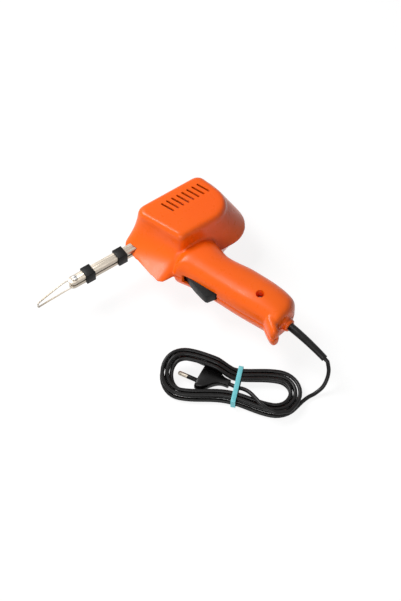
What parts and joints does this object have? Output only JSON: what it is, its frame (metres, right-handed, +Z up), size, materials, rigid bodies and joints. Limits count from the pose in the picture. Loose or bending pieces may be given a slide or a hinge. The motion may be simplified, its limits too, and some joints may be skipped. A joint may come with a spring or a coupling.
{
  "type": "soldering gun",
  "caption": "Instant-heat soldering gun with an orange two-part casing, plated bars, wire tip, trigger and a mains lead tied in a hank",
  "frame": {"origin": "on the surface the gun lies on, below the middle of the gun's own bounding box without the free lead", "axes": "X runs from the tip to the rear of the head, Y from the handle's end to the top of the head, Z up, across the casing"},
  "size_m": [0.2094, 0.2292, 0.068],
  "materials": {
    "casing": "glossy moulded plastic",
    "screw_steel": "bright zinc-plated",
    "plated_bar": "nickel-plated, softly polished",
    "black_plastic": "satin black",
    "tip_wire": "tinned wire",
    "copper": "bare copper",
    "core_steel": "varnished steel",
    "pale_plastic": "plain moulded",
    "brass": "stamped brass",
    "lead_rubber": "smooth black sheath",
    "tie_plastic": "coated tie"
  },
  "bodies": {
    "gun": {"upper_shell": "casing", "lower_shell": "casing", "handle_screw": "screw_steel", "head_screws": "screw_steel", "upper_bar": "plated_bar", "lower_bar": "plated_bar", "front_clamp": "black_plastic", "rear_clamp": "black_plastic", "tip_loop": "tip_wire", "tip_screws": "screw_steel", "copper_turn": "copper", "turn_screws": "screw_steel", "core_e_stack": "core_steel", "core_i_stack": "core_steel", "core_band": "core_steel", "coil_bobbin": "pale_plastic", "primary_coil": "copper", "trigger_pin": "screw_steel", "trigger_spring": "screw_steel", "switch_body": "black_plastic", "switch_tabs": "brass", "terminal_block": "pale_plastic", "coil_leads": "lead_rubber", "switch_leads": "lead_rubber", "inner_cord": "lead_rubber", "cord_grip": "core_steel", "grip_screws": "screw_steel", "cord_sleeve": "lead_rubber", "cord_lead": "lead_rubber", "cord_hank": "lead_rubber", "cord_tail": "lead_rubber", "hank_tie": "tie_plastic", "plug_body": "lead_rubber", "plug_pins": "plated_bar", "pin_sleeves": "black_plastic"},
    "trigger": {"trigger": "black_plastic"},
    "plunger": {"switch_plunger": "pale_plastic"}
  },
  "joints": [
    {"name": "trigger_press", "type": "hinge", "parent": "gun", "child": "trigger", "pos_m": [0.02482, 0.00842, 0.034], "axis": [0, 0, 1], "range_deg": [0, 12], "stiffness_Nm_per_rad": 0.35, "springref_deg": -11.46, "deforming": ["trigger_spring"]},
    {"name": "plunger_slide", "type": "slide", "parent": "gun", "child": "plunger", "axis": [1, 0, 0], "range_m": [0, 0.0028]}
  ],
  "couplings": [
    {"joint": "plunger_slide", "follows": "trigger_press", "m_per_rad": 0.0125}
  ]
}
